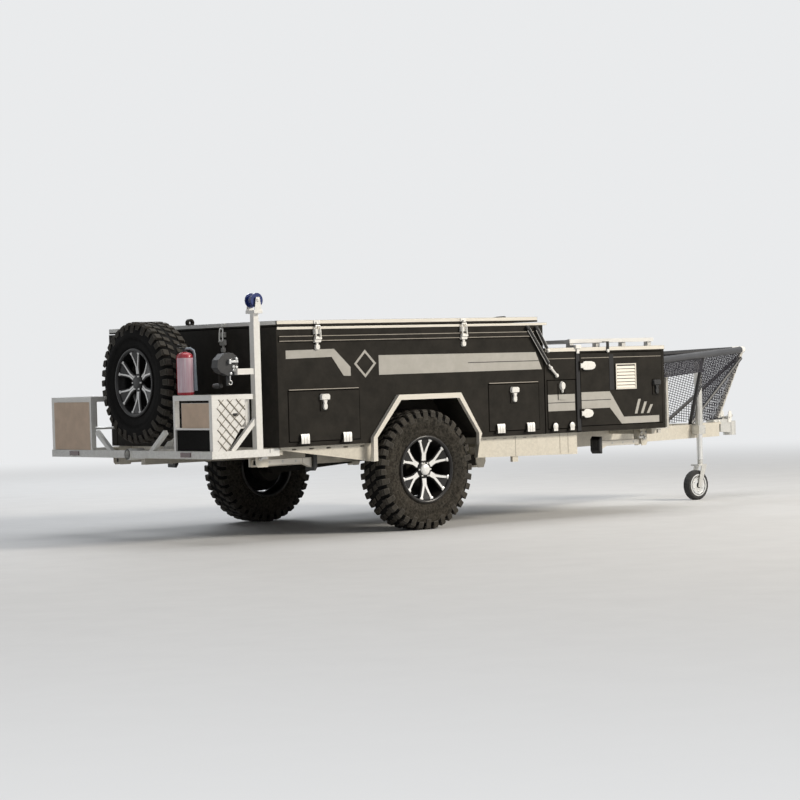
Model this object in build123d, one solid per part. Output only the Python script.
from build123d import *
import math
import os

os.makedirs("parts", exist_ok=True)

# Frame: +X is the towing direction, +Y is left, +Z is up, and the floor is z = 0.
# Pieces are drawn with x = 0 at the axle and are moved by AXLE_X when they are saved.

# driving sizes, mm
TYRE_OD = 836.0
TYRE_W = 245.0
RIM_OD = 446.0
TRACK_OUT = 1075.0
BODY_HALF = 1030.0
WALL = 20.0
GAP = 6.0
REAR_X = -1232.0
FRONT_X = 1145.0
RIM_FRONT_X = 1183.0
LID_FRONT_X = 1093.0
BODY_Z0 = 621.0
DECK_Z = 1016.0
RIM_Z = 1426.0
LID_Z = 1468.0
BOX_FRONT_X = 2360.0
BOX_Z1 = 1241.0
TAIL_X = -1760.0
COUPLING_X = 4105.0
APEX_X = 4300.0
GUARD_Z = 1196.0
FRAME_H = 135.0
MAST_TOP = 1606.0
SOCKET_R = 25.5
PIPE_R = 27.0
JOCKEY_R = 118.0
HINGE_OUT = 14.0
HINGE_OFF = 12.0
PIN_R = 4.0
RUN = 0.05

# places that follow from them
AXLE_Z = TYRE_OD / 2
ARM_Y = TRACK_OUT - TYRE_W - 95
RAIL_Y = ARM_Y - 45
RAIL_Z0 = BODY_Z0 - FRAME_H
RAIL_Z1 = BODY_Z0
EDGE_Y = BODY_HALF - 50
SILL_Y = BODY_HALF - 60
SIDE = -BODY_HALF
INNER = BODY_HALF - WALL
BOX_REAR_X = FRONT_X + 10
PIPE_TAIL_X = TAIL_X - 12
PIPE_END_X = TAIL_X + 120
AXLE_X = -(PIPE_TAIL_X + APEX_X) / 2
LID_PIVOT_X = LID_FRONT_X + 14
LID_PIVOT_Z = LID_Z + 10
BUMPER_X = TAIL_X + 25
BUMPER_Z = BODY_Z0 - 30
SPARE_Z = BUMPER_Z + TYRE_OD / 2 + 70
LEG_Y = 0.4 * RAIL_Y + 0.6 * (SILL_Y - 20)
LEG_Z = BODY_Z0 - 100
LEG_FRONT_X = BOX_FRONT_X - 90
LEG_REAR_X = REAR_X - 58
HANGER_X = 745.0
SPRING_X = -102.0
SPRING_Z1 = BODY_Z0 - 25

# the A-frame beam's middle line, and the jockey wheel clamped outside it
BAR_X0 = FRONT_X + 155
BAR_X1 = COUPLING_X - 205
BAR_Y0 = RAIL_Y + 10
BAR_Y1 = 55.0
BAR_Z = RAIL_Z0 + 62
JX = APEX_X - 790


def bar_y(x):
    """Return how far an A-frame beam's middle line is from the trailer's middle at x."""
    return BAR_Y0 + (x - BAR_X0) * (BAR_Y1 - BAR_Y0) / (BAR_X1 - BAR_X0)


JY = -bar_y(JX) - 90
STRUT_X = JX - 20
SPARE_X = TAIL_X + 50
POST_X = (REAR_X + TAIL_X) / 2 + 123
POST_Y = -EDGE_Y
CRANK_X = POST_X - 170
WINCH_Z = BUMPER_Z + 590

# wheel arch opening and the flare's outer outline, as (x, z)
ARCH_TOP = AXLE_Z + 490
ARCH_IN = [(-AXLE_Z - 6, AXLE_Z), (-AXLE_Z - 6, AXLE_Z + 238), (-206, ARCH_TOP), (318, ARCH_TOP),
           (AXLE_Z + 72, AXLE_Z + 238), (AXLE_Z + 72, AXLE_Z)]
ARCH_OUT = [(-AXLE_Z - 44, AXLE_Z + 76), (-AXLE_Z - 40, AXLE_Z + 240), (-224, ARCH_TOP + 36),
            (334, ARCH_TOP + 36), (AXLE_Z + 100, AXLE_Z + 232), (AXLE_Z + 68, AXLE_Z + 144)]

# side hatches: name, rear x, front x, bottom z, top z, half the width of a hinge
HATCHES = [
    ("rear_locker", REAR_X + 84, REAR_X + 680, BODY_Z0 + 35, BODY_Z0 + 370, 50.0),
    ("front_locker", FRONT_X - 529, FRONT_X - 57, BODY_Z0 + 39, BODY_Z0 + 368, 50.0),
    ("tunnel_locker", BOX_REAR_X + 21, BOX_REAR_X + 293, BODY_Z0 + 35, BODY_Z0 + 383, 35.0),
]
DOOR_X0 = BOX_REAR_X + 349
DOOR_X1 = BOX_FRONT_X - 32
DOOR_Z0 = BODY_Z0 + 45
DOOR_Z1 = BOX_Z1 - 45


def block(x0, x1, y0, y1, z0, z1):
    """Return a box between the given limits."""
    size = Box(abs(x1 - x0), abs(y1 - y0), abs(z1 - z0))
    return Pos((x0 + x1) / 2, (y0 + y1) / 2, (z0 + z1) / 2) * size


def flip(piece):
    """Return the piece mirrored to the other side of the trailer."""
    return mirror(piece, about=Plane.XZ)


def both(piece):
    """Return the piece together with its mirror image."""
    return Compound(children=[piece, flip(piece)])


def rod(p, q, radius, bore=0.0):
    """Return a round bar, or a tube when a bore radius is given, from p to q."""
    a = Vector(*p)
    b = Vector(*q)
    plane = Plane(origin=a, z_dir=(b - a))
    length = (b - a).length
    shape = Cylinder(radius, length, align=(Align.CENTER, Align.CENTER, Align.MIN))
    if bore > 0:
        shape -= Cylinder(bore, length, align=(Align.CENTER, Align.CENTER, Align.MIN))
    return plane * shape


def bar(p, q, radius, sides):
    """Return a many-sided bar from p to q, its corners at the radius."""
    a = Vector(*p)
    b = Vector(*q)
    return Plane(origin=a, z_dir=(b - a)) * extrude(RegularPolygon(radius, sides), amount=(b - a).length)


def beam(p, q, width, height, up=(0, 0, 1)):
    """Return a bar of box section from p to q, its height along up."""
    a = Vector(*p)
    b = Vector(*q)
    along = (b - a).normalized()
    side = along.cross(Vector(*up)).normalized()
    plane = Plane(origin=a, x_dir=side, z_dir=along)
    length = (b - a).length
    return plane * Box(width, height, length, align=(Align.CENTER, Align.CENTER, Align.MIN))


def prism_xz(points, y0, y1):
    """Return a plate with an outline in x and z, between two y values."""
    face = make_face(Polyline(*[(x, 0, z) for x, z in points], close=True))
    solid = extrude(face, amount=abs(y1 - y0), dir=(0, 1, 0))
    return Pos(0, min(y0, y1), 0) * solid


def prism_xy(points, z0, z1):
    """Return a plate with an outline in x and y, between two z values."""
    face = make_face(Polyline(*[(x, y, 0) for x, y in points], close=True))
    return Pos(0, 0, z0) * extrude(face, amount=z1 - z0, dir=(0, 0, 1))


def prism_yz(points, x0, x1):
    """Return a plate with an outline in y and z, between two x values."""
    face = make_face(Polyline(*[(0, y, z) for y, z in points], close=True))
    return Pos(x0, 0, 0) * extrude(face, amount=x1 - x0, dir=(1, 0, 0))


def drum(radius, sides, y0, y1, bevel=0.0):
    """Return a many-sided drum about the y axis, its flats at the radius, with bevelled ends."""
    plane = Plane(origin=(0, y0, 0), x_dir=(1, 0, 0), z_dir=(0, 1, 0))
    face = plane * RegularPolygon(radius, sides, major_radius=False)
    ring = extrude(face, amount=y1 - y0, dir=(0, 1, 0))
    if bevel > 0:
        ring = chamfer(ring.faces().filter_by(Axis.Y).edges(), bevel)
    return ring


def save(name, piece):
    """Move a piece to the shared frame and write it."""
    export_step(Pos(AXLE_X, 0, 0) * piece, "parts/" + name + ".step")


def hinge_ears(half):
    """Return a hinge's fixed half: a knuckle at each end of an axis along x, the panel above."""
    outline = [(-6, -7), (HINGE_OUT + 1, -7), (HINGE_OUT + 1, 7), (-3, 7), (-7, 3), (-7, -3)]
    knuckle = prism_yz(outline, half - 14, half)
    return knuckle + mirror(knuckle, about=Plane.YZ)


def hinge_leaf(half):
    """Return a hinge's moving half: a closed knuckle with a rounded leaf up the panel's face."""
    w = half - 14 - RUN
    outline = [(-7, -3), (-3, -7), (3, -7), (6, -4), (6, HINGE_OFF), (HINGE_OUT - 3, HINGE_OFF),
               (HINGE_OUT - 3, 60), (0, 60), (-5, 52), (-7, 10)]
    leaf = prism_yz(outline, -w, w)
    for s in (-1, 1):
        corner = prism_xz([(s * w, 61), (s * (w - 16), 61), (s * w, 42)], -20, 20)
        leaf -= corner
    return leaf


def under(x0, x1, z, piece):
    """Place a hinge half twice along a hatch's lower edge."""
    inset = 0.2 * (x1 - x0)
    y = SIDE - HINGE_OUT
    return [Pos(x, y, z - HINGE_OFF) * piece for x in (x0 + inset, x1 - inset)]


def beside(x, z0, z1, piece):
    """Place a hinge half twice along a door's rear edge."""
    inset = 0.17 * (z1 - z0)
    turn = Pos(x - HINGE_OFF, SIDE - HINGE_OUT, 0) * Rotation(0, 90, 0)
    return [Pos(0, 0, z) * turn * piece for z in (z0 + inset, z1 - inset)]


def latch(x, z, width, height):
    """Return a paddle latch: a raised frame with its paddle sunk in it, drawn on the right."""
    frame = block(x - width / 2, x + width / 2, SIDE - 9, SIDE - 2, z - height / 2, z + height / 2)
    return frame - block(x - width / 3, x + width / 3, SIDE - 10, SIDE - 5, z - height / 3, z + height / 3)


def lid_hinge(y, moving):
    """Return one half of a lid hinge on the shelf ahead of the lid."""
    x = LID_PIVOT_X
    z = LID_PIVOT_Z
    if moving:
        outline = [(LID_FRONT_X - 60, LID_Z), (x - 7, LID_Z), (x - 7, z - 4), (x - 4, z - 7), (x + 4, z - 7),
                   (x + 7, z - 3), (x + 7, z + 3), (x + 3, z + 7), (LID_FRONT_X - 60, LID_Z + 6)]
        leaf = prism_xz(outline, y - 30, y + 30)
        return leaf - rod((x, y - 31, z), (x, y + 31, z), PIN_R + RUN)
    ears = rod((x, y - 36, z), (x, y + 36, z), PIN_R)
    outline = [(x - 8, RIM_Z), (x + 34, RIM_Z), (x + 9, z + 6), (x - 8, z + 6)]
    for s in (-1, 1):
        ears += prism_xz(outline, y + s * 30.1, y + s * 42)
    return ears


LID_HINGES = (-0.6 * BODY_HALF, 0.6 * BODY_HALF)


def tub():
    """Return the open body with lockers under its deck and a house over each wheel."""
    lip = block(REAR_X, RIM_FRONT_X, SIDE - 4, BODY_HALF + 4, RIM_Z - 18, RIM_Z)
    shell = block(REAR_X, FRONT_X, SIDE, BODY_HALF, BODY_Z0, RIM_Z) + lip
    well = block(REAR_X + WALL, FRONT_X - WALL, -INNER, INNER, DECK_Z, RIM_Z - 22)
    well += block(REAR_X + WALL, LID_FRONT_X - 40, -INNER, INNER, DECK_Z, RIM_Z + 1)
    low = block(REAR_X + WALL, FRONT_X - WALL, -INNER, INNER, BODY_Z0 + 12, DECK_Z - 12)
    grown = [(x + math.copysign(20, x), z + 20) for x, z in ARCH_IN]
    house = prism_xz(grown, ARM_Y, BODY_HALF + 70)
    hole = prism_xz(ARCH_IN, ARM_Y + 20, BODY_HALF + 70)
    body = shell - well - (low - both(house))
    body = body - hole - flip(hole)
    for name, x0, x1, z0, z1, half in HATCHES[:2]:
        cut = block(x0 - GAP, x1 + GAP, SIDE - 1, SIDE + WALL, z0 - GAP, z1 + GAP)
        body = body - cut - flip(cut)
        for ears in under(x0, x1, z0, hinge_ears(half)):
            body += ears
            body += flip(ears)
    rail = block(REAR_X + 14, LID_FRONT_X - 40, SIDE - 9, SIDE, RIM_Z - 101, RIM_Z - 62)
    post = block(REAR_X - 3, REAR_X + 66, SIDE - 4, SIDE + 66, BODY_Z0, RIM_Z)
    post = post - block(REAR_X, REAR_X + 67, SIDE, SIDE + 67, BODY_Z0 - 1, RIM_Z + 1)
    body = body + rail + flip(rail) + post + flip(post)
    for y in LID_HINGES:
        body += lid_hinge(y, False)
    return body


def lid():
    """Return the hard lid that folds forward to make the second floor."""
    panel = block(REAR_X, LID_FRONT_X, SIDE - 4, BODY_HALF + 4, RIM_Z + GAP, LID_Z)
    pitch = (LID_FRONT_X - REAR_X - 80) / 3
    for k in range(3):
        x = REAR_X + 40 + pitch * k
        panel -= block(x + 15, x + pitch - 15, 15 - INNER, -15, RIM_Z, LID_Z - 12)
        panel -= block(x + 15, x + pitch - 15, 15, INNER - 15, RIM_Z, LID_Z - 12)
    eye = bar((REAR_X + 8, -16, LID_Z + 16), (REAR_X + 8, 16, LID_Z + 16), 28, 12)
    eye -= bar((REAR_X + 8, -17, LID_Z + 16), (REAR_X + 8, 17, LID_Z + 16), 15, 8)
    panel += eye - block(REAR_X - 40, REAR_X, -20, 20, RIM_Z, LID_Z)
    for y in LID_HINGES:
        panel += lid_hinge(y, True)
    return panel


def hatch(x0, x1, z0, z1, half):
    """Return a hinged side hatch, drawn on the right."""
    panel = block(x0, x1, SIDE - 3, SIDE + WALL - 1, z0, z1)
    panel += latch((x0 + x1) / 2, z0 + 0.77 * (z1 - z0), 72, 118)
    for leaf in under(x0, x1, z0, hinge_leaf(half)):
        panel += leaf
    return panel


def flare():
    """Return the raised rim round the wheel arch, drawn on the right."""
    ring = prism_xz(ARCH_OUT, SIDE - 32, SIDE)
    return ring - prism_xz(ARCH_IN, SIDE - 40, SIDE + 10)


def front_box():
    """Return the front box, hollow, with its side openings."""
    shell = block(BOX_REAR_X, BOX_FRONT_X, SIDE, BODY_HALF, BODY_Z0, BOX_Z1)
    shell += block(BOX_REAR_X, BOX_FRONT_X + 4, SIDE - 4, BODY_HALF + 4, BOX_Z1 - 30, BOX_Z1)
    bay = (DOOR_X0 - 32, BOX_FRONT_X - WALL)
    tunnel = block(BOX_REAR_X + 18, DOOR_X0 - 50, -INNER, INNER, BODY_Z0 + 18, BOX_Z1 - 22)
    pantry = block(bay[0], bay[1], -INNER, INNER, BODY_Z0 + 18, BOX_Z1 - 22)
    box = shell - tunnel - pantry
    name, x0, x1, z0, z1, half = HATCHES[2]
    cuts = block(x0 - GAP, x1 + GAP, SIDE - 1, SIDE + WALL, z0 - GAP, z1 + GAP)
    cuts += block(DOOR_X0 - GAP, DOOR_X1 + GAP, SIDE - 1, SIDE + WALL, DOOR_Z0 - GAP, DOOR_Z1 + GAP)
    box = box - cuts - flip(cuts)
    for ears in under(x0, x1, z0, hinge_ears(half)) + beside(DOOR_X0, DOOR_Z0, DOOR_Z1, hinge_ears(33)):
        box += ears
        box += flip(ears)
    return box


def front_door():
    """Return the pantry door with its louvred vent, drawn on the right."""
    panel = block(DOOR_X0, DOOR_X1, SIDE - 3, SIDE + WALL - 1, DOOR_Z0, DOOR_Z1)
    x0 = DOOR_X0 + 346
    z0 = DOOR_Z0 + 257
    vent = block(x0, x0 + 206, SIDE - 11, SIDE - 2, z0, z0 + 190)
    for k in range(7):
        z = z0 + 12 + 24 * k
        slot = prism_yz([(SIDE - 12, z + 8), (SIDE - 12, z + 20), (SIDE - 4, z + 14), (SIDE - 4, z + 2)],
                        x0 + 14, x0 + 192)
        vent -= slot
    for leaf in beside(DOOR_X0, DOOR_Z0, DOOR_Z1, hinge_leaf(33)):
        panel += leaf
    return panel + vent + latch(DOOR_X1 - 62, (DOOR_Z0 + DOOR_Z1) / 2, 72, 118)


def front_rack():
    """Return the low rack on the front box."""
    z = BOX_Z1 + 46
    x0 = BOX_REAR_X + 285
    x1 = BOX_FRONT_X - 70
    bar = block(x0, x1, -EDGE_Y - 14, -EDGE_Y + 14, z - 14, z + 14)
    rack = bar + flip(bar)
    for k in range(4):
        x = x0 + 30 + (x1 - x0 - 60) * k / 3
        rack += block(x - 18, x + 18, -EDGE_Y, EDGE_Y, z - 12, z + 10)
        for y in (-EDGE_Y + 20, EDGE_Y - 20):
            rack += block(x - 18, x + 18, y - 20, y + 20, BOX_Z1, z)
    return rack


def leg_bracket(x0, x1, y):
    """Return the pair of plates and the cap that carry one stabiliser leg."""
    outline = [(x0, BODY_Z0), (x0, LEG_Z - 12), (x0 + 14, LEG_Z - 30), (x1 - 10, LEG_Z - 30),
               (x1, BODY_Z0 - 30), (x1, BODY_Z0)]
    plates = prism_xz(outline, y - 38, y - 32) + prism_xz(outline, y + 32, y + 38)
    return plates + block(x0, x1, y - 38, y + 38, BODY_Z0 - 10, BODY_Z0)


def sill(points, slots):
    """Return one tapered side sill with a row of slots under the body, drawn on the right."""
    plate = prism_xz(points, -SILL_Y - 20, -SILL_Y + 20)
    for x in slots:
        plate -= block(x - 18, x + 18, -SILL_Y - 21, -SILL_Y + 21, BODY_Z0 - 24, BODY_Z0 - 14)
    return plate


def chassis():
    """Return the ladder frame with its side sills, arm hangers and spring towers."""
    rail = block(REAR_X + 20, BAR_X0 + 200, -RAIL_Y, -RAIL_Y + 50, RAIL_Z0, RAIL_Z1)
    arch_x = AXLE_Z + 8
    rear = sill([(REAR_X + 36, BODY_Z0 - 18), (REAR_X + 36, BODY_Z0), (-arch_x, BODY_Z0),
                 (-arch_x, RAIL_Z0 + 8)], [REAR_X + 150 + 145 * k for k in range(5)])
    front = sill([(arch_x + 104, RAIL_Z0 - 10), (arch_x + 134, BODY_Z0), (DOOR_X0 - 14, BODY_Z0),
                  (DOOR_X0 - 14, RAIL_Z0 - 25)], [])
    top = RAIL_Z0 + 50
    eye = AXLE_Z + 18
    plate = [(HANGER_X - 45, top), (HANGER_X - 45, eye), (HANGER_X - 25, eye - 42), (HANGER_X + 25, eye - 42),
             (HANGER_X + 45, eye), (HANGER_X + 45, top)]
    hanger = prism_xz(plate, -ARM_Y - 36, -ARM_Y - 28) + prism_xz(plate, -ARM_Y + 28, -ARM_Y + 36)
    hanger += block(HANGER_X - 45, HANGER_X + 45, -ARM_Y - 36, -RAIL_Y + 10, top, top + 10)
    hanger += block(HANGER_X - 45, HANGER_X + 45, -RAIL_Y - 10, -RAIL_Y, top - 20, top + 10)
    tower = block(SPRING_X - 60, SPRING_X + 60, -ARM_Y - 46, -RAIL_Y + 10, SPRING_Z1, SPRING_Z1 + 16)
    lug = block(arch_x + 440, arch_x + 492, -SILL_Y - 12, -SILL_Y + 12, RAIL_Z0 - 55, RAIL_Z0)
    side = rail + rear + front + lug + hanger + tower
    frame = side + flip(side)
    for x in (REAR_X + 42, -arch_x - 42, arch_x + 174, DOOR_X0 - 44):
        frame += block(x - 25, x + 25, -SILL_Y, SILL_Y, BODY_Z0 - 50, BODY_Z0)
    for x in (0.4 * HANGER_X - 630, 0.4 * HANGER_X + 122):
        frame += block(x - 25, x + 25, -RAIL_Y + 10, RAIL_Y - 10, RAIL_Z0 + 30, RAIL_Z0 + 90)
    for y in (-LEG_Y, LEG_Y):
        frame += leg_bracket(LEG_REAR_X - 34, REAR_X + 18, y)
    return frame


def drawbar():
    """Return the A-frame that runs from the chassis to the coupling."""
    bar = beam((BAR_X0, -BAR_Y0, BAR_Z), (BAR_X1, -BAR_Y1, BAR_Z), 50, 110)
    frame = bar + flip(bar)
    half = bar_y(BAR_X0 + 10) + 10
    frame += block(BAR_X0 - 20, BAR_X0 + 40, -half, half, RAIL_Z0 + 20, BAR_Z + 28)
    mid = BOX_FRONT_X + 110
    frame += block(mid - 30, mid + 30, -bar_y(mid), bar_y(mid), RAIL_Z0 + 20, BAR_Z + 28)
    frame += block(LEG_FRONT_X + 30, LEG_FRONT_X + 80, -SILL_Y + 30, SILL_Y - 30, BAR_Z + 28, BODY_Z0)
    for y in (-LEG_Y, LEG_Y):
        frame += mirror(leg_bracket(-LEG_FRONT_X - 34, -LEG_FRONT_X + 34, y), about=Plane.YZ)
    nose = BAR_X1 + 60
    deck = [(JX + 50, -bar_y(JX)), (JX + 50, bar_y(JX)), (nose, 50), (nose, -50)]
    frame += prism_xy(deck, BAR_Z + 43, BAR_Z + 58)
    frame += block(JX - 35, JX + 35, JY + 45, -bar_y(JX), RAIL_Z0 + 30, BAR_Z + 58)
    return frame


def coupling():
    """Return the coupling at the nose, with its hand grip and the socket for the ball."""
    z = RAIL_Z0 + 30
    body = prism_xz([(BAR_X1 - 20, z + 92), (BAR_X1 + 60, z + 10), (COUPLING_X, z), (COUPLING_X, z + 90),
                     (COUPLING_X - 60, z + 112), (BAR_X1 - 20, z + 112)], -42, 42)
    nose = bar((COUPLING_X, 0, z - 20), (COUPLING_X, 0, z + 96), 53, 16)
    grip = [(COUPLING_X - 90, z + 96), (COUPLING_X - 20, z + 80), (COUPLING_X + 36, z + 140),
            (COUPLING_X + 10, z + 158), (COUPLING_X - 40, z + 116), (COUPLING_X - 90, z + 126)]
    grip = prism_xz(grip, -14, 14)
    socket = rod((COUPLING_X, 0, z - 30), (COUPLING_X, 0, z + 60), SOCKET_R)
    return (body + nose + grip) - socket - block(BAR_X1 - 60, BAR_X1 + 61, -60, 60, z, BAR_Z + 58)


def rear_bumper():
    """Return the rear beam, its side arms, the pipe socket and the spare wheel post."""
    z = BUMPER_Z
    x = BUMPER_X
    half = EDGE_Y + 25
    bumper = block(x - 25, x + 25, -half, half, z - 25, z + 25)
    for y in (-EDGE_Y, EDGE_Y):
        bumper += block(x, REAR_X + 17, y - 25, y + 25, z - 25, z + 25)
    bumper += block(x, REAR_X + 17, -40, 40, z - 25, z + 25)
    bumper += bar((PIPE_TAIL_X, 0, z), (PIPE_END_X, 0, z), 38, 16)
    post = REAR_X - 103
    bumper += block(post - 35, post + 35, -40, 40, z, SPARE_Z + 48)
    bumper += prism_xz([(post - 30, z + 150), (post - 30, z + 20), (post - 150, z + 20)], -6, 6)
    bumper += bar((SPARE_X + 112, 0, SPARE_Z), (post, 0, SPARE_Z), 50, 12)
    for y in (-EDGE_Y, EDGE_Y):
        bumper += block(post + 42, post + 55, y - 30, y + 30, z, BODY_Z0 - 5)
    for s in (-1, 1):
        bumper += beam((x, s * 240, z + 10), (x, s * 430, z + 152), 30, 30, up=(1, 0, 0))
    return bumper - rod((PIPE_TAIL_X - 5, 0, z), (PIPE_END_X, 0, z), PIPE_R)


BOTTLE_X = TAIL_X + 155
BOTTLE_Y = -TYRE_OD / 2 - 70


def cage(s):
    """Return one rear cage, s = -1 on the right and 1 on the left."""
    x0 = TAIL_X + 8
    x1 = x0 + 36
    xe = TAIL_X + 340
    z0 = BUMPER_Z + 25
    z1 = z0 + 370
    floor = z0 + 142
    yi = TYRE_OD / 2 + (62 if s > 0 else 132)
    yo = EDGE_Y + 25
    bars = block(x0, x1, yi, yo, z1 - 34, z1)
    bars += block(x0, x0 + 58, yo - 34, yo, z0, z1)
    bars += block(x0, x1, yi, yi + 20, z0, z1)
    bars += block(x0, xe, yo - 34, yo, z1 - 34, z1)
    bars += block(x0, xe, yi, yi + 20, z1 - 34, z1)
    bars += block(xe - 34, xe, yi, yo, z1 - 34, z1)
    bars += block(x0, xe, yi, yo - 44, floor, floor + 12)
    bars += block(x0, x0 + 120, yi, yo, floor, floor + 12)
    bars += block(xe - 34, xe, yo - 74, yo - 44, floor, z1)
    bars += block(xe - 34, xe, yi, yi + 20, floor, z1)
    side = prism_xz([(x0 + 40, z0), (x0 + 40, z1 - 30), (TAIL_X + 275, z1 - 30), (TAIL_X + 275, z0 + 197),
                     (TAIL_X + 127, z0)], yo - 8, yo - 2)
    x = TAIL_X + 196
    z = z0 + 236
    slot = [(x - 27, z), (x - 18, z + 11), (x + 18, z + 11), (x + 27, z), (x + 18, z - 11), (x - 18, z - 11)]
    slot = prism_xz(slot, yo - 20, yo)
    back = block(x0 + 6, x0 + 12, yi + 90, yo - 30, floor, z1 - 50)
    if s > 0:
        back = block(x0 + 6, x0 + 12, yi + 10, yo - 10, z0, z1 - 20)
    else:
        bars += block(BOTTLE_X - 62, BOTTLE_X + 62, -BOTTLE_Y - 62, yi + 18, z1 - 8, z1)
    piece = bars + (side - slot) + back
    return piece if s > 0 else flip(piece)


TREAD = 14.0
FLATS = 24


def tyre():
    """Return a left-hand tyre whose outer face is at y = 0, with a lug on each flat of its tread."""
    r = TYRE_OD / 2
    w = TYRE_W
    bead = RIM_OD / 2
    body = drum(r - TREAD, FLATS, -w, 0, 44)
    body -= drum(bead + 34, FLATS, -14, 1) + drum(r - 44, 12, 44 - w, -44) + drum(bead, FLATS, -w - 1, 1)
    step = 360 / FLATS
    half = w / 2
    outline = [(r - 46, -6), (r - TREAD - 3, -40), (r - TREAD - 3, -half - 12), (r, -half - 12), (r, -30),
               (r - 40, 0)]
    lug = extrude(make_face(Polyline(*[(x, y, 0) for x, y in outline], close=True)), amount=23, both=True)
    for k in range(FLATS):
        side = lug if k % 2 else Pos(0, -w, 0) * flip(lug)
        body += Rotation(0, step * k + step / 2, 0) * side
    return body


def rim():
    """Return a left-hand rim with six forked spokes, its outer face to +y from y = 0."""
    seat = RIM_OD / 2
    w = TYRE_W
    wheel = drum(seat - 0.1, FLATS, 2 - w, -14) + drum(seat + 13, FLATS, -14, -4, 3)
    wheel -= drum(seat - 13, FLATS, 1 - w, 1)
    wheel += drum(58, 12, -112, -26) + drum(38, 12, -27, -14, 3)
    fork = [(30, -25), (108, -24), (seat - 20, -58), (seat - 9, -30), (146, 0), (seat - 9, 30),
            (seat - 20, 58), (108, 24), (30, 25)]
    spoke = prism_xz(fork, -56, -30)
    for k in range(6):
        wheel += Rotation(0, 60 * k + 30, 0) * spoke
    return wheel - rod((0, -113, 0), (0, -62, 0), 24 + RUN)


def suspension():
    """Return one trailing arm with its stub axle, brake drum and spring seat, drawn on the right."""
    y = -ARM_Y
    z = AXLE_Z
    outline = [(HANGER_X + 30, z + 23), (HANGER_X + 12, z - 4), (HANGER_X - 20, z - 4), (50, z - 48),
               (-40, z - 48), (-60, z - 10), (-160, z + 12), (-160, z + 32), (-40, z + 32), (40, z + 52),
               (HANGER_X - 10, z + 68), (HANGER_X + 20, z + 60)]
    arm = prism_xz(outline, y - 28, y + 28)
    arm += block(-160, -40, y - 42, y + 42, z + 12, z + 32)
    stub = rod((0, y, z), (0, -TRACK_OUT + 62, z), 24) + block(-40, 40, y - 54, y, z - 40, z + 40)
    brake = Pos(0, 0, z) * drum(108, 16, -TRACK_OUT + 180, y - 52)
    return arm + stub + brake


def strut():
    """Return one coil spring with its cups, drawn on the right."""
    z0 = AXLE_Z + 32
    z1 = SPRING_Z1
    coil = Pos(SPRING_X, -ARM_Y, z0) * extrude(RegularPolygon(24, 6), amount=z1 - z0)
    for k in range(4):
        z = z0 + (z1 - z0 - 18) * k / 3
        coil += Pos(SPRING_X, -ARM_Y, z + 9) * extrude(RegularPolygon(43, 8), amount=9, both=True)
    return coil


def leg(x, y, forward):
    """Return one stabiliser leg folded flat; forward is the way that its foot points."""
    z = LEG_Z
    end = x + forward * 440
    tube = block(x - forward * 18, end, y - 20, y + 20, z - 20, z + 20)
    eye = block(x - 18, x + 18, y - 31.9, y + 31.9, z - 18, z + 18)
    foot = [(end, z - 75), (end + forward * 14, z - 75), (end + forward * 30, z - 52),
            (end + forward * 30, z + 32), (end + forward * 14, z + 55), (end, z + 55)]
    foot = prism_xz(foot, y - 50, y + 50)
    pad = [(end, z - 52), (end, z + 20), (end - forward * 78, z + 20), (end - forward * 78, z - 20)]
    return tube + eye + foot + prism_xz(pad, y - 24, y + 24)


save("chassis_frame", chassis() - drawbar())
save("drawbar", drawbar())
save("coupling", coupling() - drawbar())
TUB = tub()
save("body_tub", TUB)
save("floor_lid", lid())
save("arch_flares", both(flare()))
for name, x0, x1, z0, z1, half in HATCHES:
    save(name + "_hatch_right", hatch(x0, x1, z0, z1, half))
    save(name + "_hatch_left", flip(hatch(x0, x1, z0, z1, half)))
BOX = front_box()
save("front_box", BOX)
save("front_door_right", front_door())
save("front_door_left", flip(front_door()))
save("front_rack", front_rack())
save("rear_bumper", rear_bumper())
save("rear_cages", Compound(children=[cage(-1), cage(1)]))

# road wheels and spare wheel
TYRE = tyre()
RIM = rim()
LEFT = Pos(0, TRACK_OUT, AXLE_Z)
save("tyre_left", LEFT * TYRE)
save("tyre_right", flip(LEFT * TYRE))
save("rim_left", LEFT * RIM)
save("rim_right", flip(LEFT * RIM))
SPARE = Pos(SPARE_X, 0, SPARE_Z) * Rotation(0, 0, 90)
save("spare_tyre", SPARE * TYRE)
save("spare_rim", SPARE * RIM)

# winch mast at the right rear corner
POST_Z0 = BUMPER_Z + 25
POST_Z1 = MAST_TOP - 143
SLEEVE = 20.3
post = block(POST_X - 25, POST_X + 25, POST_Y - 25, POST_Y + 25, POST_Z0, POST_Z1)
brace = beam((POST_X - 15, POST_Y, POST_Z0 + 200), (POST_X - 215, POST_Y, POST_Z0 - 5), 30, 30, up=(0, 1, 0))
post += brace - block(POST_X - 300, POST_X, POST_Y - 40, POST_Y + 40, 0, POST_Z0)
post = post - block(POST_X - SLEEVE, POST_X + SLEEVE, POST_Y - SLEEVE, POST_Y + SLEEVE, POST_Z0 + 12,
                    POST_Z1 + 5)
post += block(CRANK_X + 10, POST_X - 24, POST_Y - 18, POST_Y + 18, WINCH_Z - 65, WINCH_Z - 25)
save("winch_post", post)
mast = block(POST_X - 20, POST_X + 20, POST_Y - 20, POST_Y + 20, POST_Z0 + 400, MAST_TOP - 75)
mast += block(POST_X - 30, POST_X + 30, POST_Y - 49, POST_Y + 49, MAST_TOP - 85, MAST_TOP - 70)
cheek = [(POST_X - 30, MAST_TOP - 80), (POST_X + 30, MAST_TOP - 80), (POST_X + 14, MAST_TOP + 20),
         (POST_X - 14, MAST_TOP + 20)]
for s in (-1, 1):
    mast += prism_xz(cheek, POST_Y + s * 43, POST_Y + s * 49)
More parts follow.
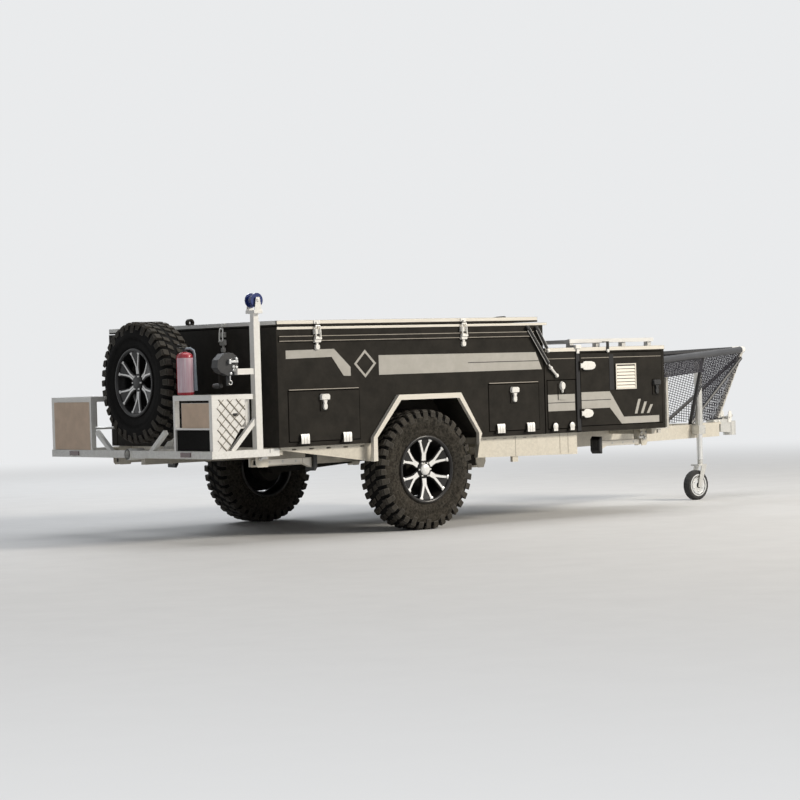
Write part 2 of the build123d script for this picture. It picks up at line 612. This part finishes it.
mast += rod((POST_X, POST_Y - 45, MAST_TOP), (POST_X, POST_Y + 45, MAST_TOP), 8)
save("winch_mast", mast)
roller = drum(48, 14, -36, -28) + drum(48, 14, 28, 36) + drum(36, 14, -30, 30)
roller = roller - rod((0, -40, 0), (0, 40, 0), 8 + RUN)
save("strap_roller", Pos(POST_X, POST_Y, MAST_TOP) * roller)
cover = [(CRANK_X + 40, WINCH_Z - 70), (CRANK_X + 40, WINCH_Z + 50), (CRANK_X, WINCH_Z + 80),
         (CRANK_X - 70, WINCH_Z + 77), (CRANK_X - 118, WINCH_Z + 35), (CRANK_X - 126, WINCH_Z - 15),
         (CRANK_X - 100, WINCH_Z - 47), (CRANK_X - 40, WINCH_Z - 70)]
winch = prism_xz(cover, POST_Y + 18, POST_Y + 88)
winch += block(CRANK_X - 30, CRANK_X - 8, POST_Y + 46, POST_Y + 60, WINCH_Z - 135, WINCH_Z - 69)
save("hand_winch", winch - post)
crank_y = POST_Y + 88
crank = rod((CRANK_X - 40, crank_y + 0.3, WINCH_Z), (CRANK_X - 40, crank_y + 28, WINCH_Z), 12)
crank += block(CRANK_X - 52, CRANK_X - 28, crank_y + 16, crank_y + 28, WINCH_Z - 150, WINCH_Z + 12)
crank += Pos(CRANK_X - 40, 0, WINCH_Z - 136) * drum(14, 10, crank_y + 16, crank_y + 106, 3)
save("winch_crank", crank)

# stabiliser legs
for side, s in (("right", -1), ("left", 1)):
    save("leg_front_" + side, leg(LEG_FRONT_X, s * LEG_Y, -1))
    save("leg_rear_" + side, leg(LEG_REAR_X, s * LEG_Y, 1))

# jockey wheel, lowered to the floor
JTOP = GUARD_Z - 90
CLAMP_Z0 = RAIL_Z0 + 40
WHEEL_X = JX - 55
jtube = bar((JX, JY, CLAMP_Z0), (JX, JY, JTOP), 31, 12)
jtube += block(JX - 36, JX + 36, JY - 36, JY + 45, CLAMP_Z0, CLAMP_Z0 + 70)
jtube = jtube - rod((JX, JY, CLAMP_Z0 - 1), (JX, JY, JTOP + 1), 25)
save("jockey_tube", jtube)
FORK_Z = 2 * JOCKEY_R + 34
save("jockey_stem", rod((JX, JY, FORK_Z + 52), (JX, JY, JTOP - 190), 25 - RUN))
fork = bar((JX, JY, FORK_Z + 12), (JX, JY, FORK_Z + 51.9), 22, 12)
fork += block(WHEEL_X - 5, JX + 30, JY - 44, JY + 44, FORK_Z, FORK_Z + 14)
cheek = [(JX - 25, FORK_Z + 2), (JX + 30, FORK_Z + 2), (WHEEL_X + 16, JOCKEY_R - 16),
         (WHEEL_X - 16, JOCKEY_R - 16)]
for s in (-1, 1):
    fork += prism_xz(cheek, JY + s * 38, JY + s * 44)
fork += rod((WHEEL_X, JY - 40, JOCKEY_R), (WHEEL_X, JY + 40, JOCKEY_R), 8)
save("jockey_fork", fork)
jwheel = drum(JOCKEY_R, 20, -32, 32, 12)
jwheel -= drum(70, 10, -33, -22) + drum(70, 10, 22, 33)
jwheel += drum(22, 10, -32, 32)
jwheel = jwheel - rod((0, -40, 0), (0, 40, 0), 8 + RUN)
save("jockey_wheel", Pos(WHEEL_X, JY, JOCKEY_R) * Rotation(0, 9, 0) * jwheel)
jcrank = Pos(JX, JY, JTOP + 0.3) * extrude(RegularPolygon(28, 12), amount=24)
jcrank += block(JX - 9, JX + 80, JY - 9, JY + 9, JTOP + 24, JTOP + 36)
jcrank += Pos(JX + 68, JY, JTOP + 30) * extrude(RegularPolygon(11, 8), amount=50)
save("jockey_crank", jcrank)

save("suspension_arms", both(suspension()))
save("spring_struts", both(strut()))

# stone guard: a rail down each side, two struts each from a foot on the drawbar, and a nose post
RAIL_START = BOX_FRONT_X
RAIL_END_Y = EDGE_Y - 20
FOOT = (STRUT_X, -bar_y(STRUT_X), BAR_Z + 50)


def guard_rail(x):
    """Return a point of the right rail's middle line at x."""
    t = (x - RAIL_START) / (APEX_X - 30 - RAIL_START)
    return (x, -RAIL_END_Y * (1 - t) - 12 * t, GUARD_Z - 70 * (1 - t))


guard = bar(guard_rail(RAIL_START), guard_rail(APEX_X - 30), 27, 10)
guard += bar(FOOT, (APEX_X - 60, -22, GUARD_Z - 70), 15, 8)
guard += bar(FOOT, guard_rail(STRUT_X - 140), 15, 8)
guard = guard + flip(guard)
guard += bar((APEX_X - 20, 0, GUARD_Z + 6), (BAR_X1 + 45, 0, BAR_Z + 60), 20, 8)
guard += block(BAR_X1 + 10, BAR_X1 + 90, -32, 32, RAIL_Z0 + 142, RAIL_Z0 + 152)
guard = guard - block(BAR_X1 - 20, BAR_X1 + 120, -60, 60, 0, RAIL_Z0 + 142)
guard = guard - coupling() - drawbar() - block(0, BOX_FRONT_X, -BODY_HALF, BODY_HALF, 0, LID_Z)
save("stone_guard", guard)

# can holder: a tray on the right beam with an open hoop round it
HOLD_X0 = BOX_FRONT_X + 140
HOLD_X1 = HOLD_X0 + 190
HOLD_Y0 = -bar_y(HOLD_X0) - 330
HOLD_Y1 = -bar_y(HOLD_X0) + 10
HOLD_Z = BAR_Z + 55
holder = block(HOLD_X0, HOLD_X1, HOLD_Y0, HOLD_Y1, HOLD_Z, HOLD_Z + 12)
holder += block(HOLD_X0 + 80, HOLD_X0 + 110, HOLD_Y0 + 10, HOLD_Y1, HOLD_Z - 30, HOLD_Z)
for x in (HOLD_X0, HOLD_X1 - 20):
    holder += block(x, x + 20, HOLD_Y0, HOLD_Y0 + 20, HOLD_Z, HOLD_Z + 430)
    holder += block(x, x + 20, HOLD_Y1 - 60, HOLD_Y1 - 40, HOLD_Z, HOLD_Z + 430)
    holder += block(x, x + 20, HOLD_Y0, HOLD_Y1 - 40, HOLD_Z + 410, HOLD_Z + 430)
for y in (HOLD_Y0, HOLD_Y1 - 60):
    holder += block(HOLD_X0, HOLD_X1, y, y + 20, HOLD_Z + 410, HOLD_Z + 430)
save("can_holder", holder - drawbar())

lamp = block(TAIL_X - 6, TAIL_X, -EDGE_Y + 220, -EDGE_Y + 340, BUMPER_Z - 14, BUMPER_Z + 16)
save("tail_lamps", both(lamp))
BOTTLE_Z = BUMPER_Z + 395
bottle = Pos(BOTTLE_X, BOTTLE_Y, BOTTLE_Z) * extrude(RegularPolygon(58, 14), amount=290)
bottle = chamfer(bottle.faces().sort_by(Axis.Z)[-1].edges(), 22)
bottle += block(BOTTLE_X - 14, BOTTLE_X + 14, BOTTLE_Y - 14, BOTTLE_Y + 14, BOTTLE_Z + 289, BOTTLE_Z + 318)
bottle += block(BOTTLE_X - 52, BOTTLE_X + 18, BOTTLE_Y - 9, BOTTLE_Y + 9, BOTTLE_Z + 318, BOTTLE_Z + 336)
save("fire_extinguisher", bottle)

# prop stays beside the gap between body and box: upper x and z, lower x and z
STAYS = [(LID_FRONT_X - 103, RIM_Z - 35, BOX_REAR_X + 45, RIM_Z - 330),
         (LID_FRONT_X - 18, RIM_Z - 40, BOX_REAR_X + 23, RIM_Z - 205)]
STAY_Y = SIDE - 18
stays = []
for x0, z0, x1, z1 in STAYS:
    stay = beam((x0, STAY_Y, z0), (x1, STAY_Y, z1), 20, 16, up=(0, 1, 0))
    for x, z in ((x0, z0), (x1, z1)):
        stay += block(x - 13, x + 13, STAY_Y - 10, SIDE, z - 13, z + 13)
    stays.append(stay - TUB - BOX)
save("prop_stays", Compound(children=stays))
